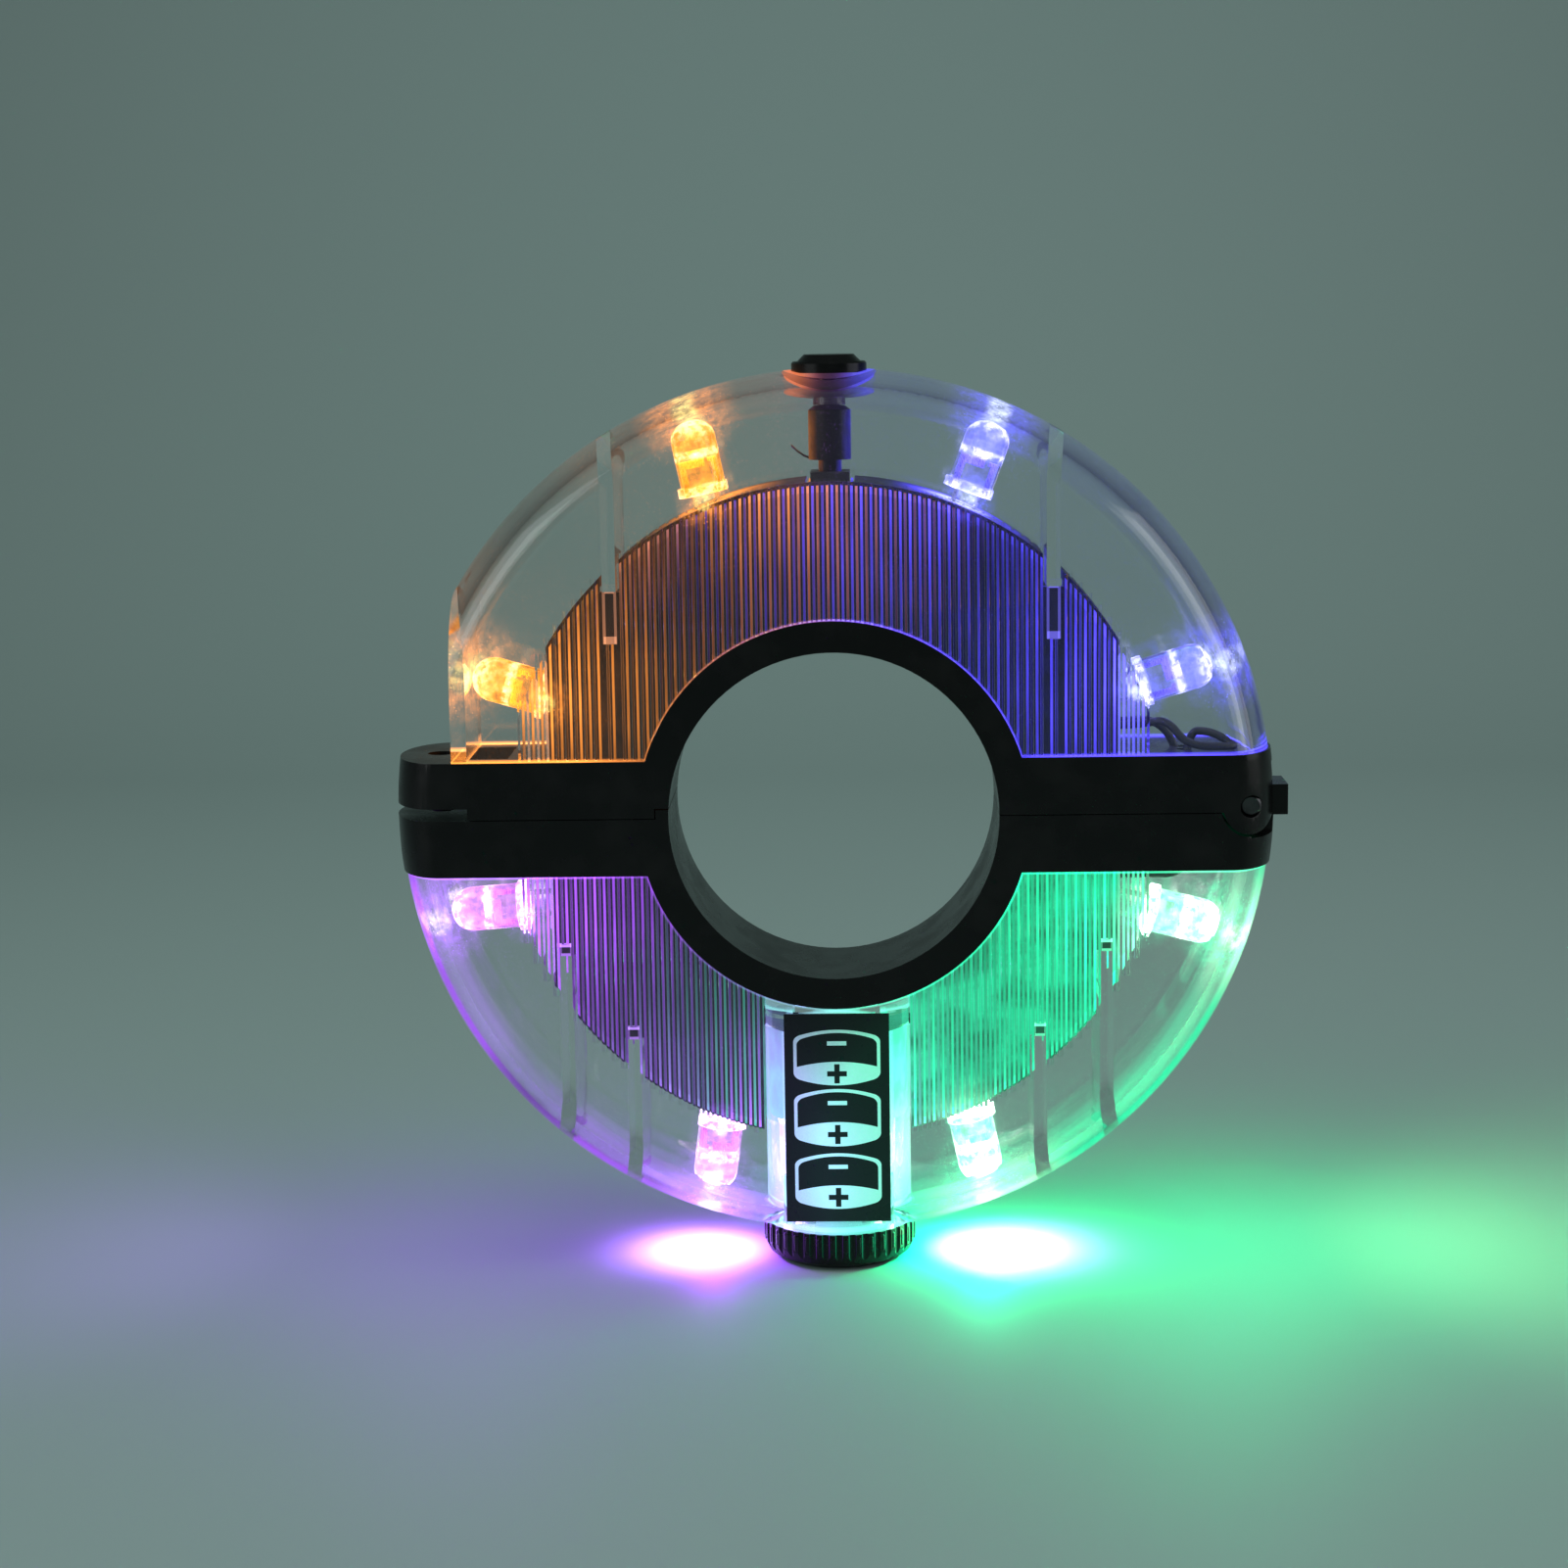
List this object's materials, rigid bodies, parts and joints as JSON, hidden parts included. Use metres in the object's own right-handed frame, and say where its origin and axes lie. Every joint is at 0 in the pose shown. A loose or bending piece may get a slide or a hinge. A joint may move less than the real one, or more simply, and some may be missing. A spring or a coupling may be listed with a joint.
{
  "type": "wheel hub light",
  "caption": "Battery wheel hub light: a clear two-half ring with coloured lamps that hinges shut round a bicycle hub",
  "frame": {"origin": "centre of the hub bore, midway between the front and the back face", "axes": "+Z from the screw cap up to the push button, +Y along the bore to the back, +X to the hinge"},
  "size_m": [0.0995, 0.0174, 0.1022],
  "materials": {
    "black_plastic": "black injection-moulded plastic with a soft satin surface",
    "clear_plastic": "clear colourless polycarbonate, polished outside, ridged inside",
    "board_green": "green solder mask over glass-fibre board",
    "chip_black": "moulded black epoxy",
    "resistor_black": "black glazed ceramic with tinned ends",
    "amber_lens": "clear epoxy lens, amber diode",
    "blue_lens": "clear epoxy lens, blue diode",
    "magenta_lens": "clear epoxy lens, magenta diode",
    "green_lens": "clear epoxy lens, green diode",
    "tinned_lead": "tinned steel lead frame",
    "wire_black": "black vinyl insulation over stranded copper",
    "sleeve_rubber": "black silicone tube",
    "pin_steel": "drawn steel rod",
    "label_film": "black printed film with white battery outlines",
    "cell_steel": "nickel-plated steel, lightly brushed",
    "gasket_black": "moulded nylon",
    "spring_steel": "nickel-plated spring wire",
    "contact_brass": "stamped brass sheet"
  },
  "bodies": {
    "lower_half": {"lower_frame": "black_plastic", "hinge_pin": "pin_steel", "lower_cover": "clear_plastic", "lower_left_carrier": "black_plastic", "lower_right_carrier": "black_plastic", "lower_left_board": "board_green", "lower_right_board": "board_green", "lower_resistors": "resistor_black", "magenta_led_lenses": "magenta_lens", "magenta_led_leads": "tinned_lead", "green_led_lenses": "green_lens", "green_led_leads": "tinned_lead", "lower_wires": "wire_black", "battery_label": "label_film", "cell_cans": "cell_steel", "cell_lids": "cell_steel", "cell_gaskets": "gasket_black", "battery_spring": "spring_steel", "spring_contact": "contact_brass", "contact_strip": "contact_brass"},
    "upper_half": {"upper_frame": "black_plastic", "upper_cover": "clear_plastic", "upper_carrier": "black_plastic", "upper_board": "board_green", "controller_chip": "chip_black", "upper_resistors": "resistor_black", "switch_body": "black_plastic", "amber_led_lenses": "amber_lens", "amber_led_leads": "tinned_lead", "blue_led_lenses": "blue_lens", "blue_led_leads": "tinned_lead", "upper_wires": "wire_black"},
    "button": {"button_cap": "black_plastic", "button_sleeve": "sleeve_rubber", "switch_stem": "black_plastic"},
    "cap_contact": {"cap_contact": "contact_brass"},
    "battery_cap": {"battery_cap": "black_plastic"}
  },
  "joints": [
    {"name": "ring_hinge", "type": "hinge", "parent": "lower_half", "child": "upper_half", "pos_m": [0.0458, 0, 0.0006], "axis": [0, 1, 0], "range_deg": [0, 90]},
    {"name": "button_press", "type": "slide", "parent": "upper_half", "child": "button", "axis": [0, 0, -1], "range_m": [0, 0.0007], "stiffness_N_per_m": 1000},
    {"name": "cap_slide", "type": "slide", "parent": "lower_half", "child": "cap_contact", "axis": [0, 0, -1], "range_m": [0, 0.003]},
    {"name": "cap_turn", "type": "hinge", "parent": "cap_contact", "child": "battery_cap", "pos_m": [0, 0, -0.0476], "axis": [0, 0, -1], "range_deg": [0, 1080]}
  ],
  "couplings": [
    {"joint": "cap_turn", "follows": "cap_slide", "rad_per_m": 6283.2}
  ]
}
